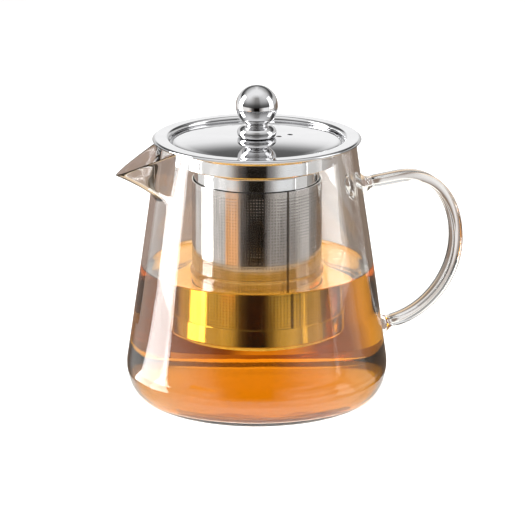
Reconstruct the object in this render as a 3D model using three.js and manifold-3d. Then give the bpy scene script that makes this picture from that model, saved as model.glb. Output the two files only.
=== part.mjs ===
// A glass teapot with a lift-out steel infuser basket and a knobbed steel lid.
// Millimetres, +Z up. The origin is the centre of the base, on the surface it stands on.
// The spout points towards -X and the handle towards +X.
import * as THREE from "three";
import { mergeVertices } from "three/addons/utils/BufferGeometryUtils.js";
import Module from "manifold-3d";

// ---------------------------------------------------------------- driving dimensions

const GAP = 0.3; // left between two pieces that touch
const GAUGE = 0.8; // sheet of the basket and of the lid

const pot = {
  height: 115.2, // resting plane to rim
  baseRadius: 49, // flat that it stands on
  bellyRadius: 57.2, // outer radius where the rounded corner runs into the wall
  bellyHeight: 18,
  rimRadius: 43, // outer radius at the rim
  cornerLead: 0.6, // share of the corner's width that it stays flat
  cornerTurn: 0.47, // share of the corner's height at which it leaves the wall's line
  wall: 2.3,
  floor: 3.4,
};

const spout = {
  depth: 23, // from the rim down to where the wall starts to fold out
  halfWidth: 13.3, // at the rim
  reach: 21.8, // tip beyond the rim circle
  drop: 10.6, // tip below the rim
  riseEase: 1.15, // how late the fold opens on its way up
  crestEase: 1.45, // how sharp the fold's crest is
  sideEase: 1.2, // how softly the fold runs out at its sides
};

const handle = {
  upperDrop: 24.7, // upper weld below the rim
  upperRun: 20, // straight run from the wall to the bend
  upperRise: 2.2, // that the straight run climbs
  lowerHeight: 25, // lower weld above the base
  lowerRun: 8,
  lowerRise: 1.4,
  reach: 37.5, // middle of the strap beyond the belly, at its farthest
  reachDrop: 28, // that farthest point below the upper weld
  width: 8, // across the strap
  thickness: 4.8,
  corner: 1.8,
  beadLength: 5, // fused bead, out from the wall
  beadWidth: 6.6,
  beadHeight: 5.4,
  upperLead: 0.62, // share of the way out that the upper bend runs straight on
  upperHold: 0.6, // share of the way up that the strap stays upright above its farthest point
  lowerLead: 0.5,
  lowerHold: 0.55,
};

const basket = {
  rimClearance: 5.7, // collar to the inside of the glass rim
  overhang: 2.2, // flange beyond the outside of the glass rim
  edgeDrop: 1.4, // flange top to the foot of its turned-down edge
  recessDepth: 3.2, // flange top to the ledge that carries the lid
  ledge: 4, // width of that ledge
  collarLength: 10, // flange top to the foot of the collar
  shoulderInset: 6.6, // collar radius down to tube radius
  shoulderHeight: 8.1, // foot of the collar to the top of the tube
  shoulderDrop: 0.5, // foot of the collar to the bend where the shoulder turns in
  shoulderFall: 1.7, // that the shoulder falls on its way in
  lap: 2.7, // length of each welded lap
  tubeBottom: 87, // flange top to the foot of the tube
  cupHeight: 9,
  bend: 0.9, // middle radius of the sheet's bends
};

const lid = {
  clearance: 1.1, // lid edge to the recess wall
  crown: 0, // middle of the lid above the flange top
  crownFall: 0.6, // that the lid falls towards its edge
  edgeRound: 2.4, // turned-down edge
  ringClearance: 0.6, // locating ring to the collar
  ringLift: 0.8, // foot of the locating ring above the shoulder's upper lap
  ringFlange: 4, // welding flange of the locating ring
  ventRadius: 1.2,
  vents: [
    { radius: 9.6, degrees: -18 },
    { radius: 15.2, degrees: -2.5 },
  ],
};

const knob = {
  ballRadius: 9.2,
  ballRise: 13.7, // ball centre above the lid
  seamDrop: 1, // weld seam below the ball's middle
  neckRadius: 4.7,
  footBase: 6.9, // radius where the foot sits on the lid
  footRadius: 8.6, // at the foot's bulge
  footBulge: 1.8, // height of the bulge above the foot's base
  bushRadius: 3.6,
  bushLength: 9,
  bushFloor: 1.4, // blind end of the threaded hole
};

const screw = {
  shankRadius: 1.9,
  headRadius: 3.6,
  headHeight: 2.2,
  washerRadius: 4.8,
  washerThickness: 0.8,
};

// ---------------------------------------------------------------- derived places

const v2 = (x, y) => new THREE.Vector2(x, y);
const wallSlope = (pot.rimRadius - pot.bellyRadius) / (pot.height - pot.bellyHeight);
const wallRadius = (z) => pot.bellyRadius + wallSlope * (z - pot.bellyHeight);

const flangeTop = pot.height + GAP + GAUGE;
const collarRadius = pot.rimRadius - pot.wall - basket.rimClearance; // outside
const tubeRadius = collarRadius - basket.shoulderInset; // outside
const recessRadius = collarRadius - GAUGE + basket.ledge; // inside
const ledgeTop = flangeTop - basket.recessDepth;
const collarFoot = flangeTop - basket.collarLength;
const shoulderFoot = collarFoot - basket.shoulderHeight;
const tubeFoot = flangeTop - basket.tubeBottom;

const lidRadius = recessRadius - lid.clearance;
const lidTop = flangeTop + lid.crown;
const ringRadius = collarRadius - GAUGE - lid.ringClearance; // outside
const screwHole = screw.shankRadius + GAP;

const footBottom = lidTop + GAP;
const ballHeight = lidTop + knob.ballRise;
const neckLatitude = -Math.acos(knob.neckRadius / knob.ballRadius);
const seamLatitude = (z) => Math.asin((z - knob.seamDrop) / knob.ballRadius);
const neckHeight = ballHeight + knob.ballRadius * Math.sin(neckLatitude);

// ---------------------------------------------------------------- materials

const glass = new THREE.MeshStandardMaterial({
  color: 0xe9eef0, roughness: 0.03, metalness: 0, transparent: true, opacity: 0.35,
});
const polished = new THREE.MeshStandardMaterial({ color: 0xd8dadc, roughness: 0.08, metalness: 1 });
const etched = new THREE.MeshStandardMaterial({ color: 0xb4b2ae, roughness: 0.38, metalness: 1 });
const zinc = new THREE.MeshStandardMaterial({ color: 0xa9acb0, roughness: 0.3, metalness: 1 });

// ---------------------------------------------------------------- helpers

// Turns a closed outline in the (radius, height) plane about the Z axis.
function turned(outline, segments) {
  const points = [...outline];
  const onAxis = points[0].x === 0 && points.at(-1).x === 0;
  if (!onAxis) points.push(points[0].clone());
  if (THREE.ShapeUtils.area(points) < 0) points.reverse();
  return new THREE.LatheGeometry(points, segments).rotateX(Math.PI / 2);
}

// Unit normal on the right of a polyline at each of its points, stretched at the bends.
function mitres(points) {
  return points.map((p, i) => {
    const before = p.clone().sub(points[Math.max(i - 1, 0)]).normalize();
    const after = points[Math.min(i + 1, points.length - 1)].clone().sub(p).normalize();
    if (i === 0) before.copy(after);
    if (i === points.length - 1) after.copy(before);
    const middle = before.clone().add(after).normalize();
    return v2(middle.y, -middle.x).multiplyScalar(1 / Math.max(middle.dot(after), 0.5));
  });
}

// Closed outline of a bent sheet, from the path that its middle follows.
function sheet(path, gauge, arcPoints = 2) {
  const middle = path.getPoints(arcPoints);
  const normals = mitres(middle);
  const side = (sign) =>
    middle.map((p, i) => p.clone().addScaledVector(normals[i], (sign * gauge) / 2));
  return [...side(1), ...side(-1).reverse()];
}

// Path through corner points with each inner corner rounded.
function rounded(corners, radius) {
  const path = new THREE.Path().moveTo(corners[0].x, corners[0].y);
  for (let i = 1; i < corners.length - 1; i += 1) {
    const p = corners[i];
    const reach = (q) => Math.min(radius, p.distanceTo(q) / 2);
    const from = p.clone().lerp(corners[i - 1], reach(corners[i - 1]) / p.distanceTo(corners[i - 1]));
    const to = p.clone().lerp(corners[i + 1], reach(corners[i + 1]) / p.distanceTo(corners[i + 1]));
    path.lineTo(from.x, from.y);
    path.quadraticCurveTo(p.x, p.y, to.x, to.y);
  }
  const end = corners.at(-1);
  return path.lineTo(end.x, end.y);
}

const wasm = await Module();
wasm.setup();

function toSolid(geometry) {
  const bare = geometry.clone();
  bare.deleteAttribute("normal");
  bare.deleteAttribute("uv");
  const merged = mergeVertices(bare, 1e-4);
  const vertProperties = merged.attributes.position.array;
  const triVerts = new Uint32Array(merged.index.array);
  return new wasm.Manifold(new wasm.Mesh({ numProp: 3, vertProperties, triVerts }));
}

function toGeometry(solid) {
  const mesh = solid.getMesh();
  const geometry = new THREE.BufferGeometry();
  geometry.setAttribute("position", new THREE.BufferAttribute(mesh.vertProperties, 3));
  geometry.setIndex(new THREE.BufferAttribute(mesh.triVerts, 1));
  geometry.computeVertexNormals();
  return geometry;
}

// Upright cylinder between two heights.
function post(radius, bottom, top, segments, x = 0, y = 0) {
  return new THREE.CylinderGeometry(radius, radius, top - bottom, segments)
    .rotateX(Math.PI / 2)
    .translate(x, y, (bottom + top) / 2);
}

function piece(name, geometry, material) {
  const mesh = new THREE.Mesh(geometry, material);
  mesh.name = name;
  return mesh;
}

// ---------------------------------------------------------------- glass

// Outer skin of the pot from the middle of the base to just under the rim.
function potSkin(rows) {
  const corner = new THREE.CubicBezierCurve(
    v2(pot.baseRadius, 0),
    v2(THREE.MathUtils.lerp(pot.baseRadius, pot.bellyRadius, pot.cornerLead), 0),
    v2(wallRadius(pot.cornerTurn * pot.bellyHeight), pot.cornerTurn * pot.bellyHeight),
    v2(pot.bellyRadius, pot.bellyHeight),
  );
  const foldStart = pot.height - spout.depth;
  const skinTop = pot.height - pot.wall / 2;
  const heights = [];
  const addRows = (from, to, count) => {
    for (let i = 1; i <= count; i += 1) {
      heights.push(THREE.MathUtils.lerp(from, to, i / count));
    }
  };
  addRows(pot.bellyHeight, foldStart, rows);
  addRows(foldStart, skinTop, 2 * rows);
  return [v2(0, 0), ...corner.getPoints(6), ...heights.map((z) => v2(wallRadius(z), z))];
}

// Moves one point of the plain pot to where the spout's fold takes it.
function foldSpout(point) {
  const foldStart = pot.height - spout.depth;
  const rise = THREE.MathUtils.clamp((point.z - foldStart) / spout.depth, 0, 1);
  const across = Math.abs(point.y) / spout.halfWidth;
  if (point.x > 0 || rise === 0 || across >= 1) return;
  const pull = rise ** spout.riseEase * (1 - across ** spout.crestEase) ** spout.sideEase;
  point.x -= spout.reach * pull;
  point.z -= spout.drop * pull;
}

function glassBody() {
  const segments = 64;
  const crowding = 0.6; // crowds the segments towards the spout
  const outer = potSkin(3);
  const normals = mitres(outer);
  const inner = outer.map((p, i) => {
    const upright = THREE.MathUtils.smoothstep(p.y, 0, pot.bellyHeight);
    return p.clone().addScaledVector(normals[i], -THREE.MathUtils.lerp(pot.floor, pot.wall, upright));
  });
  inner[0].x = 0;
  const top = outer.at(-1);
  const rim = new THREE.Path()
    .absarc(top.x - pot.wall / 2, top.y, pot.wall / 2, 0, Math.PI)
    .getPoints(3)
    .slice(1, -1);
  const geometry = turned([...outer, ...rim, ...inner.reverse()], segments);
  const position = geometry.attributes.position;
  const point = new THREE.Vector3();
  for (let i = 0; i < position.count; i += 1) {
    point.fromBufferAttribute(position, i);
    const radius = Math.hypot(point.x, point.y);
    const angle = Math.atan2(point.y, -point.x);
    const crowded = angle - crowding * Math.sin(angle);
    point.x = -radius * Math.cos(crowded);
    point.y = radius * Math.sin(crowded);
    foldSpout(point);
    position.setXYZ(i, point.x, point.y, point.z);
  }
  return geometry;
}

// Middle line of the handle's strap, in the XZ plane.
function handlePath() {
  const v3 = (x, z) => new THREE.Vector3(x, 0, z);
  const upperZ = pot.height - handle.upperDrop;
  const upperStart = v3(wallRadius(upperZ), upperZ);
  const upperBend = v3(upperStart.x + handle.upperRun, upperZ + handle.upperRise);
  const farthest = v3(pot.bellyRadius + handle.reach, upperZ - handle.reachDrop);
  const lowerEnd = v3(wallRadius(handle.lowerHeight), handle.lowerHeight);
  const lowerBend = v3(lowerEnd.x + handle.lowerRun, handle.lowerHeight + handle.lowerRise);
  const along = (from, to, share) => to.clone().add(to.clone().sub(from).normalize().multiplyScalar(share));
  const path = new THREE.CurvePath();
  path.add(new THREE.LineCurve3(upperStart, upperBend));
  path.add(new THREE.CubicBezierCurve3(
    upperBend,
    along(upperStart, upperBend, handle.upperLead * (farthest.x - upperBend.x)),
    v3(farthest.x, THREE.MathUtils.lerp(farthest.z, upperBend.z, handle.upperHold)),
    farthest,
  ));
  path.add(new THREE.CubicBezierCurve3(
    farthest,
    v3(farthest.x, THREE.MathUtils.lerp(farthest.z, lowerBend.z, handle.lowerHold)),
    along(lowerEnd, lowerBend, handle.lowerLead * (farthest.x - lowerBend.x)),
    lowerBend,
  ));
  path.add(new THREE.LineCurve3(lowerBend, lowerEnd));
  return path;
}

function strapSection() {
  const w = handle.width / 2;
  const t = handle.thickness / 2;
  const c = handle.corner;
  const section = new THREE.Shape();
  section.absarc(w - c, t - c, c, 0, Math.PI / 2);
  section.absarc(c - w, t - c, c, Math.PI / 2, Math.PI);
  section.absarc(c - w, c - t, c, Math.PI, 1.5 * Math.PI);
  section.absarc(w - c, c - t, c, 1.5 * Math.PI, 2 * Math.PI);
  return section.closePath();
}

function glassHandle() {
  const path = handlePath();
  const sweep = { steps: 30, curveSegments: 2, extrudePath: path };
  const strap = new THREE.ExtrudeGeometry(strapSection(), sweep);
  const bead = (end) =>
    new THREE.SphereGeometry(1, 16, 12)
      .scale(handle.beadLength, handle.beadWidth, handle.beadHeight)
      .translate(end.x, end.y, end.z);
  // The outside of the glass wall with the gap added, which the handle's ends are cut to.
  const wall = potSkin(4).map((p) => v2(p.x === 0 ? 0 : p.x + GAP, p.y - GAP));
  const cutter = turned([...wall, v2(0, wall.at(-1).y)], 96);
  const solid = toSolid(strap)
    .add(toSolid(bead(path.getPoint(0))))
    .add(toSolid(bead(path.getPoint(1))))
    .subtract(toSolid(cutter));
  return toGeometry(solid);
}

// ---------------------------------------------------------------- infuser basket

function basketBrim() {
  const half = GAUGE / 2;
  const top = flangeTop - half;
  const edge = pot.rimRadius + basket.overhang - half;
  const collar = collarRadius - half;
  const path = rounded([
    v2(edge, flangeTop - basket.edgeDrop),
    v2(edge, top),
    v2(recessRadius + half, top),
    v2(recessRadius + half, ledgeTop - half),
    v2(collar, ledgeTop - half),
    v2(collar, collarFoot),
  ], basket.bend);
  return turned(sheet(path, GAUGE), 48);
}

function basketShoulder() {
  const half = GAUGE / 2;
  const upper = collarRadius - GAUGE - GAP - half;
  const lower = tubeRadius - GAUGE - GAP - half;
  const path = rounded([
    v2(upper, collarFoot + basket.lap),
    v2(upper, collarFoot - basket.shoulderDrop),
    v2(lower, collarFoot - basket.shoulderDrop - basket.shoulderFall),
    v2(lower, shoulderFoot - basket.lap),
  ], basket.bend);
  return turned(sheet(path, GAUGE), 48);
}

function basketTube() {
  const path = new THREE.Path()
    .moveTo(tubeRadius - GAUGE / 2, shoulderFoot - GAP)
    .lineTo(tubeRadius - GAUGE / 2, tubeFoot);
  return turned(sheet(path, GAUGE), 48);
}

function basketCup() {
  const half = GAUGE / 2;
  const side = tubeRadius + GAP + half;
  const floor = tubeFoot - GAP - half;
  const path = rounded([v2(0, floor), v2(side, floor), v2(side, floor + basket.cupHeight)], basket.bend);
  return turned(sheet(path, GAUGE), 48);
}

// ---------------------------------------------------------------- lid

function lidCap() {
  const half = GAUGE / 2;
  const edge = lidRadius - half;
  const shoulder = edge - lid.edgeRound;
  const top = lidTop - half;
  const path = new THREE.Path()
    .moveTo(screwHole, top)
    .quadraticCurveTo(shoulder / 2, top, shoulder, top - lid.crownFall)
    .quadraticCurveTo(edge, top - lid.crownFall, edge, top - lid.crownFall - lid.edgeRound / 2)
    .lineTo(edge, ledgeTop + GAP);
  const cap = toSolid(turned(sheet(path, GAUGE, 4), 48));
  const drilled = lid.vents.reduce((solid, vent) => {
    const angle = THREE.MathUtils.degToRad(vent.degrees);
    const x = vent.radius * Math.cos(angle);
    const y = vent.radius * Math.sin(angle);
    return solid.subtract(toSolid(post(lid.ventRadius, ledgeTop, lidTop + GAUGE, 12, x, y)));
  }, cap);
  return toGeometry(drilled);
}

function lidRing() {
  const half = GAUGE / 2;
  const side = ringRadius - half;
  const top = lidTop - lid.crownFall - GAUGE - GAP - half;
  const path = rounded([
    v2(side - lid.ringFlange, top),
    v2(side, top),
    v2(side, collarFoot + basket.lap + lid.ringLift),
  ], basket.bend);
  return turned(sheet(path, GAUGE), 48);
}

// Hollow shell of the ball between two latitudes, in radians.
function ballShell(low, high) {
  const arc = (radius) =>
    new THREE.Path().absarc(0, ballHeight, radius, low, high, false).getPoints(4);
  const outline = [...arc(knob.ballRadius), ...arc(knob.ballRadius - GAUGE).reverse()];
  return turned(outline.map((p) => v2(Math.abs(p.x) < 1e-6 ? 0 : p.x, p.y)), 28);
}

function knobFoot() {
  const bore = knob.bushRadius + GAP;
  const top = neckHeight - GAP;
  const path = new THREE.Path()
    .moveTo(bore, footBottom)
    .lineTo(knob.footBase, footBottom)
    .quadraticCurveTo(knob.footRadius, footBottom, knob.footRadius, footBottom + knob.footBulge)
    .quadraticCurveTo(knob.footRadius, top, knob.neckRadius, top)
    .lineTo(bore, top);
  return turned(path.getPoints(5), 28);
}

function knobBush() {
  const bottom = footBottom;
  const top = bottom + knob.bushLength;
  return turned([
    v2(0, top),
    v2(knob.bushRadius, top),
    v2(knob.bushRadius, bottom),
    v2(screwHole, bottom),
    v2(screwHole, top - knob.bushFloor),
    v2(0, top - knob.bushFloor),
  ], 20);
}

const washerTop = lidTop - GAUGE - GAP;
const headTop = washerTop - screw.washerThickness - GAP;

function lidWasher() {
  return turned([
    v2(screwHole, washerTop),
    v2(screw.washerRadius, washerTop),
    v2(screw.washerRadius, washerTop - screw.washerThickness),
    v2(screwHole, washerTop - screw.washerThickness),
  ], 20);
}

function lidScrew() {
  const tip = footBottom + knob.bushLength - knob.bushFloor - 2 * GAP;
  return turned([
    v2(0, tip),
    v2(screw.shankRadius, tip),
    v2(screw.shankRadius, headTop),
    v2(screw.headRadius, headTop),
    v2(screw.headRadius, headTop - screw.headHeight / 2),
    v2(screw.headRadius / 2, headTop - screw.headHeight),
    v2(0, headTop - screw.headHeight),
  ], 20);
}

// ---------------------------------------------------------------- the teapot

const potGroup = new THREE.Group();
potGroup.name = "pot";
potGroup.add(
  piece("glass_body", glassBody(), glass),
  piece("glass_handle", glassHandle(), glass),
);

const basketGroup = new THREE.Group();
basketGroup.name = "infuser";
basketGroup.add(
  piece("infuser_brim", basketBrim(), polished),
  piece("infuser_shoulder", basketShoulder(), polished),
  piece("infuser_mesh_tube", basketTube(), etched),
  piece("infuser_base_cup", basketCup(), etched),
);

const lidGroup = new THREE.Group();
lidGroup.name = "lid";
lidGroup.add(
  piece("lid_cap", lidCap(), polished),
  piece("lid_locating_ring", lidRing(), polished),
  piece("knob_upper_shell", ballShell(seamLatitude(GAP / 2), Math.PI / 2), polished),
  piece("knob_lower_shell", ballShell(neckLatitude, seamLatitude(-GAP / 2)), polished),
  piece("knob_foot", knobFoot(), polished),
  piece("knob_threaded_bush", knobBush(), zinc),
  piece("knob_washer", lidWasher(), zinc),
  piece("knob_screw", lidScrew(), zinc),
);

const teapot = new THREE.Group();
teapot.name = "glass_teapot";
teapot.add(potGroup, basketGroup, lidGroup);

export default teapot;
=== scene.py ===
"""Looks of a clear glass teapot with a lift-out steel infuser and a knobbed steel lid.

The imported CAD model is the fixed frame. Every piece is built in metres, in that frame:
+Z up, the spout towards -X, the handle towards +X and the base on the floor.
"""

import logging
import math
from dataclasses import dataclass, field
from enum import Enum

import bmesh
import bpy
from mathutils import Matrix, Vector, noise


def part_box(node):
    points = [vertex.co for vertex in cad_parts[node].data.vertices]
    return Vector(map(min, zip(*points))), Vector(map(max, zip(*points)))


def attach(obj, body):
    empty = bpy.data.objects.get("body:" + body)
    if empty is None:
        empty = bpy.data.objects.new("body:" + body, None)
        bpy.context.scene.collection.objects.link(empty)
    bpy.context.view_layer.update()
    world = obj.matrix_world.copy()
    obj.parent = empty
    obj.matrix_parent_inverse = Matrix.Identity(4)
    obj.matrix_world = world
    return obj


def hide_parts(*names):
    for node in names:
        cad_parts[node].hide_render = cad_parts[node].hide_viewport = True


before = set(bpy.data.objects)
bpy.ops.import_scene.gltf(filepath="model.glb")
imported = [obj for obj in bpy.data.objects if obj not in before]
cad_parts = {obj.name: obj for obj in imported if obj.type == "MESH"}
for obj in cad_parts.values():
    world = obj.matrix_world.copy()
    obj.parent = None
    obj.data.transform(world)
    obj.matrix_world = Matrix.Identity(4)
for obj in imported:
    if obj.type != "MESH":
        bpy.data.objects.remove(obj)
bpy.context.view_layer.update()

MM = 0.001
SHARP_DEGREES = 30
LOG = logging.getLogger("teapot")
Outline = list[Vector]
Faces = list[list[int]]
Span = tuple[float, float]
Triple = tuple[float, float, float]
Tone = Triple
Socket = bpy.types.NodeSocket
Thing = bpy.types.Object
Material = bpy.types.Material


class Body(Enum):
    """The CAD bodies that pieces ride on."""

    POT = "pot"
    INFUSER = "infuser"
    LID = "lid"


class Slot(Enum):
    """The record's material slots."""

    GLASS = "clear_glass"
    POLISHED = "polished_steel"
    MESH = "etched_mesh_steel"
    PLAIN = "plain_steel"


# ---------------------------------------------------------------- outlines and meshes


def lerp(a: float, b: float, share: float) -> float:
    """Blend from a to b by a share of 0 to 1."""
    return a + (b - a) * share


def smoothstep(low: float, high: float, value: float) -> float:
    """Rise smoothly from 0 at low to 1 at high."""
    share = min(max((value - low) / (high - low), 0.0), 1.0)
    return share * share * (3 - 2 * share)


def points(*pairs: Span) -> Outline:
    """Points of an outline, from pairs of radius and height."""
    return [Vector(pair) for pair in pairs]


def spoke(degrees: float, radius: float = 1.0, height: float = 0.0) -> Vector:
    """Point at an angle about the upright axis, counted from the handle side."""
    angle = math.radians(degrees)
    return Vector((radius * math.cos(angle), radius * math.sin(angle), height))


def arc(centre: Span, radius: float, start: float, end: float, steps: int) -> Outline:
    """Points along an arc in the (radius, height) plane.

    Args:
        centre: Middle of the arc.
        radius: Radius of the arc.
        start: First angle in degrees, from the outward direction towards up.
        end: Last angle in degrees.
        steps: Number of stretches between the points.

    Returns:
        The arc's points from start to end.
    """
    angles = [math.radians(lerp(start, end, i / steps)) for i in range(steps + 1)]
    return [Vector((centre[0] + radius * math.cos(a), centre[1] + radius * math.sin(a))) for a in angles]


def bezier(controls: list[Vector], steps: int) -> list[Vector]:
    """Points along a Bezier curve of any degree, in two or three dimensions.

    Args:
        controls: Control points.
        steps: Number of stretches between the points.

    Returns:
        The curve's points, both ends included.
    """
    curve = []
    for i in range(steps + 1):
        level = [p.copy() for p in controls]
        while len(level) > 1:
            level = [a.lerp(b, i / steps) for a, b in zip(level, level[1:])]
        curve.append(level[0])
    return curve


def filleted(corners: list[Span], radius: float, steps: int = 6) -> Outline:
    """A path through corner points with every inner corner rounded.

    Args:
        corners: Corner points as (radius, height).
        radius: Distance from a corner at which its rounding starts.
        steps: Number of stretches in each rounding.

    Returns:
        The rounded path.
    """
    bends = points(*corners)
    path = [bends[0]]
    for before, corner, after in zip(bends, bends[1:], bends[2:]):
        enter = corner + (before - corner).normalized() * min(radius, (before - corner).length / 2)
        leave = corner + (after - corner).normalized() * min(radius, (after - corner).length / 2)
        path += bezier([enter, corner, leave], steps)
    path.append(bends[-1])
    return path


def offset(path: Outline, distance: float) -> Outline:
    """The path moved sideways, to its right, by a distance.

    Args:
        path: Open path in the (radius, height) plane.
        distance: How far to the right each stretch moves.

    Returns:
        The moved path, with as many points.
    """
    moved = []
    for i, point in enumerate(path):
        before = (point - path[i - 1]).normalized() if i else None
        after = (path[i + 1] - point).normalized() if i + 1 < len(path) else None
        before = before or after
        after = after or before
        middle = (before + after).normalized()
        normal = Vector((middle.y, -middle.x)) / max(middle.dot(after), 0.5)
        moved.append(point + normal * distance)
    return moved


def supported(path: Outline, margin: float = 0.12 * MM) -> Outline:
    """The path with a point close to both ends of every long straight stretch, which keeps it flat.

    Args:
        path: Open path in the (radius, height) plane.
        margin: Distance of the new points from the ends.

    Returns:
        The path with the extra points.
    """
    result = [path[0]]
    for a, b in zip(path, path[1:]):
        length = (b - a).length
        if length > 5 * margin:
            result += [a.lerp(b, margin / length), b.lerp(a, margin / length)]
        result.append(b)
    return result


def bent_sheet(path: Outline, gauge: float) -> Outline:
    """Closed outline of a bent sheet with softly rounded cut edges.

    Args:
        path: What the middle of the sheet follows.
        gauge: Thickness of the sheet.

    Returns:
        The closed outline.
    """
    half = gauge / 2
    path = supported(path)
    right = offset(path, half)
    left = offset(path, -half)
    lead = (path[-1] - path[-2]).normalized() * half * 0.6
    tail = (path[0] - path[1]).normalized() * half * 0.6
    end = [right[-1].lerp(left[-1], s) + lead for s in (0.25, 0.75)]
    start = [left[0].lerp(right[0], s) + tail for s in (0.25, 0.75)]
    return [*right, *end, *reversed(left), *start]


def spun_sheet(name: str, path: Outline, gauge: float, segments: int) -> Thing:
    """Turn a bent sheet about the upright axis.

    Args:
        name: Name of the piece.
        path: What the middle of the sheet follows.
        gauge: Thickness of the sheet.
        segments: Number of steps round the axis.

    Returns:
        The spun piece.
    """
    return turned(name, bent_sheet(path, gauge), segments)


def linked(name: str, data: bpy.types.ID) -> Thing:
    """Make an object from its data and link it to the scene.

    Args:
        name: Name of the object.
        data: Mesh, light or camera.

    Returns:
        The object.
    """
    made = bpy.data.objects.new(name, data)
    bpy.context.scene.collection.objects.link(made)
    return made


def mesh_object(name: str, vertices: list[Vector], faces: Faces, crease: float = 35.0) -> Thing:
    """Make a smooth-shaded object from vertices and faces, merged and facing outwards.

    Args:
        name: Name of the object and of its mesh.
        vertices: Places of the vertices, in metres.
        faces: Vertex numbers of each face.
        crease: Angle in degrees above which an edge stays sharp.

    Returns:
        The object, linked to the scene.
    """
    closeness = 1e-7
    mesh = bpy.data.meshes.new(name)
    mesh.from_pydata([tuple(v) for v in vertices], [], faces)
    tool = bmesh.new()
    tool.from_mesh(mesh)
    bmesh.ops.remove_doubles(tool, verts=tool.verts, dist=closeness)
    bmesh.ops.dissolve_degenerate(tool, edges=tool.edges, dist=closeness)
    bmesh.ops.recalc_face_normals(tool, faces=tool.faces)
    tool.to_mesh(mesh)
    tool.free()
    mesh.shade_smooth()
    mesh.set_sharp_from_angle(angle=math.radians(crease))
    return linked(name, mesh)


def lattice(copies: int, count: int, rows: int) -> Faces:
    """Faces between the copies of an outline that stand in a ring.

    Args:
        copies: Number of copies.
        count: Points in each copy.
        rows: Stretches of the outline that carry faces.

    Returns:
        The vertex numbers of each face.
    """
    starts = [(s * count, (s + 1) % copies * count) for s in range(copies)]
    return [
        [here + i, there + i, there + (i + 1) % count, here + (i + 1) % count]
        for here, there in starts
        for i in range(rows)
    ]


def turned(name: str, outline: Outline, segments: int = 160, closed: bool = True) -> Thing:
    """Turn an outline about the upright axis.

    Args:
        name: Name of the piece.
        outline: Points as (radius, height); it closes on itself, or starts and ends on the axis.
        segments: Number of steps round the axis.
        closed: Whether the last point joins the first.

    Returns:
        The turned piece.
    """
    count = len(outline)
    vertices = [spoke(360 * s / segments, p.x, p.y) for s in range(segments) for p in outline]
    return mesh_object(name, vertices, lattice(segments, count, count if closed else count - 1))


@dataclass(frozen=True)
class Bar:
    """A square bar bent round the upright axis, from one angle in degrees to another."""

    start: float
    end: float
    inner: float
    outer: float
    bottom: float
    top: float
    steps: int


def bent_bars(name: str, bars: list[Bar]) -> Thing:
    """Build bent bars as one object.

    Args:
        name: Name of the object.
        bars: The bars; one that goes all the way round has no ends.

    Returns:
        The object.
    """
    vertices: list[Vector] = []
    faces: Faces = []
    for bar in bars:
        first = len(vertices)
        corners = (
            (bar.inner, bar.bottom), (bar.outer, bar.bottom), (bar.outer, bar.top), (bar.inner, bar.top),
        )
        for i in range(bar.steps + 1):
            degrees = lerp(bar.start, bar.end, i / bar.steps)
            vertices.extend(spoke(degrees, r, z) for r, z in corners)
        for i in range(bar.steps):
            a, b = first + i * 4, first + i * 4 + 4
            faces.extend([a + k, a + (k + 1) % 4, b + (k + 1) % 4, b + k] for k in range(4))
        if bar.end - bar.start < 360:
            faces.append([first + 3, first + 2, first + 1, first])
            faces.append([first + bar.steps * 4 + k for k in range(4)])
    return mesh_object(name, vertices, faces)


def brick(name: str, corners: list[Vector]) -> Thing:
    """Build a six-sided solid from the four corners of one side and the four opposite ones."""
    sides = [[0, 1, 5, 4], [1, 2, 6, 5], [2, 3, 7, 6], [3, 0, 4, 7], [3, 2, 1, 0], [4, 5, 6, 7]]
    return mesh_object(name, corners, sides)


def baked(piece: Thing) -> Thing:
    """Replace a piece by the plain mesh that its modifiers make.

    Args:
        piece: Object with modifiers.

    Returns:
        A new object with the same name and no modifiers.
    """
    graph = bpy.context.evaluated_depsgraph_get()
    mesh = bpy.data.meshes.new_from_object(piece.evaluated_get(graph), depsgraph=graph)
    name = piece.name
    bpy.data.objects.remove(piece)
    mesh.name = name
    return linked(name, mesh)


def combined(piece: Thing, other: Thing, operation: str) -> Thing:
    """Join a second solid to a piece, or cut it away from it.

    Args:
        piece: The solid that stays.
        other: The solid that is joined or cut.
        operation: UNION or DIFFERENCE.

    Returns:
        The piece as a plain mesh.
    """
    modifier = piece.modifiers.new(operation.lower(), "BOOLEAN")
    modifier.operation = operation
    modifier.solver = "EXACT"
    modifier.object = other
    made = baked(piece)
    bpy.data.objects.remove(other)
    return made


def finished(piece: Thing, material: Material, slot: Slot, body: Body, *nodes: str) -> None:
    """Give a piece its material and its body, and hide the CAD nodes that it stands for.

    Args:
        piece: The finished piece.
        material: Its material.
        slot: The record's material slot; not used.
        body: The body that it rides on.
        nodes: CAD nodes that it replaces.
    """
    piece.data.materials.clear()
    piece.data.materials.append(material)
    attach(piece, body.value)
    if nodes:
        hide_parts(*nodes)
    LOG.info("%s: %d faces on %s", piece.name, len(piece.data.polygons), body.value)


# ---------------------------------------------------------------- finishes


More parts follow.
